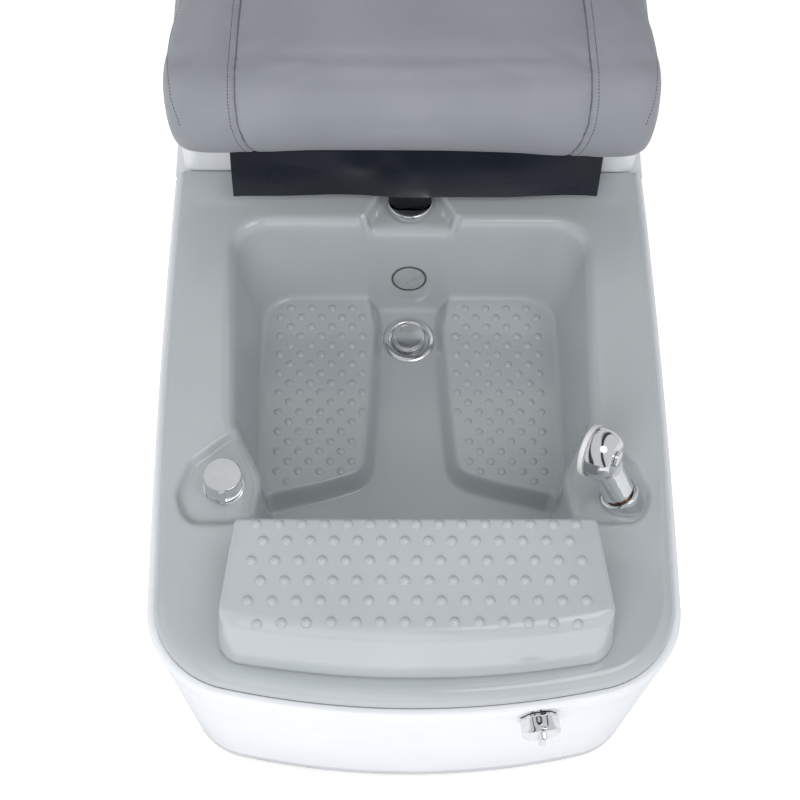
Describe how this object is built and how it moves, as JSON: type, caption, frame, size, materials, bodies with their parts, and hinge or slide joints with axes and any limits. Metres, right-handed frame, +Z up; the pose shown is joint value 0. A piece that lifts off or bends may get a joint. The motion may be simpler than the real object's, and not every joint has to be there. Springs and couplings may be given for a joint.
{
  "type": "pedicure bench",
  "caption": "Pedicure bench: acrylic foot basin with footrest, mixer, hand sprayer and drain control in a white housing, under an upholstered seat that slides on rails.",
  "frame": {"origin": "middle of the footprint, on the floor", "axes": "+Z up, +Y from the basin's front towards the seat, +X to the sprayer's side"},
  "size_m": [0.666, 1.4324, 0.9978],
  "materials": {
    "white_gel_coat": "glossy white gel coat",
    "basin_acrylic": "glossy grey acrylic with a faint green cast",
    "footrest_acrylic": "glossy grey acrylic",
    "chrome": "bright chrome plate",
    "white_plastic": "smooth white",
    "dark_ring": "satin dark grey",
    "lens": "frosted pale grey",
    "brass_fitting": "turned",
    "black_plastic": "moulded matt",
    "hose_rubber": "smooth",
    "frame_paint": "satin powder coat",
    "steel": "zinc plated",
    "soft_rubber": "matt",
    "plywood": "sealed birch ply",
    "grey_leatherette": "fine-grained grey leatherette",
    "black_vinyl": "smooth black vinyl"
  },
  "bodies": {
    "bench": {"floor_frame": "frame_paint", "levelling_feet": "soft_rubber", "housing_shell": "white_gel_coat", "basin_seal": "soft_rubber", "seat_box": "white_gel_coat", "access_panel": "white_gel_coat", "access_panel_screws": "steel", "basin": "basin_acrylic", "basin_walls": "basin_acrylic", "basin_floor": "basin_acrylic", "foot_pads": "basin_acrylic", "spout_disc": "chrome", "spout_body": "brass_fitting", "spout_nut": "brass_fitting", "mixer_plate": "chrome", "mixer_body": "brass_fitting", "mixer_nut": "brass_fitting", "spray_collar": "chrome", "collar_nut": "brass_fitting", "drain_flange": "chrome", "drain_body": "black_plastic", "drain_locknut": "black_plastic", "drain_trap": "black_plastic", "drain_knob_plate": "chrome", "drain_cable": "hose_rubber", "light_ring": "dark_ring", "light_lens": "lens", "light_body": "black_plastic", "light_nut": "black_plastic", "light_driver": "black_plastic", "light_cable": "hose_rubber", "hot_inlet": "brass_fitting", "cold_inlet": "brass_fitting", "hot_hose": "hose_rubber", "cold_hose": "hose_rubber", "spout_hose": "hose_rubber", "spray_feed_hose": "hose_rubber", "seat_rails": "steel"},
    "footrest": {"footrest": "footrest_acrylic", "footrest_feet": "soft_rubber"},
    "mixer_knob": {"mixer_knob": "chrome"},
    "sprayer": {"spray_handle": "chrome", "spray_face": "white_plastic", "spray_hose_stub": "hose_rubber"},
    "spray_trigger": {"spray_trigger": "chrome"},
    "drain_plug": {"drain_plug": "chrome"},
    "drain_knob": {"drain_knob": "chrome"},
    "seat": {"slide_carriages": "steel", "seat_board": "plywood", "seat_bolts": "steel", "seat_cushion": "grey_leatherette", "splash_flap": "black_vinyl", "flap_batten": "plywood", "back_board": "plywood", "back_cushion": "grey_leatherette", "back_cover": "white_gel_coat", "back_brackets": "steel"},
    "release_lever": {"release_lever": "black_plastic"}
  },
  "joints": [
    {"name": "footrest_lift", "type": "slide", "parent": "bench", "child": "footrest", "axis": [0, 0, 1], "range_m": [0, 0.14]},
    {"name": "mixer_turn", "type": "hinge", "parent": "bench", "child": "mixer_knob", "pos_m": [-0.241, -0.38855, 0.34], "axis": [0, 0, 1], "range_deg": [-75, 75]},
    {"name": "sprayer_pull", "type": "slide", "parent": "bench", "child": "sprayer", "axis": [-0.4008, 0.2131, 0.891], "range_m": [0, 0.09]},
    {"name": "trigger_press", "type": "slide", "parent": "sprayer", "child": "spray_trigger", "axis": [-0.8673, 0.4612, -0.1874], "range_m": [0, 0.003], "stiffness_N_per_m": 600, "springref_m": -0.002},
    {"name": "drain_turn", "type": "hinge", "parent": "bench", "child": "drain_knob", "pos_m": [0.15, -0.67919, 0.297], "axis": [0.1405, -0.9832, -0.1168], "range_deg": [0, 90]},
    {"name": "plug_lift", "type": "slide", "parent": "bench", "child": "drain_plug", "axis": [0, 0, 1], "range_m": [0, 0.008]},
    {"name": "seat_slide", "type": "slide", "parent": "bench", "child": "seat", "axis": [0, 1, 0], "range_m": [-0.08, 0.045]},
    {"name": "release_turn", "type": "hinge", "parent": "seat", "child": "release_lever", "pos_m": [0.2, 0.31645, 0.449], "axis": [-1, 0, 0], "range_deg": [0, 18], "stiffness_Nm_per_rad": 1, "springref_deg": -14.32}
  ],
  "couplings": [
    {"joint": "plug_lift", "follows": "drain_turn", "m_per_rad": 0.00509}
  ]
}
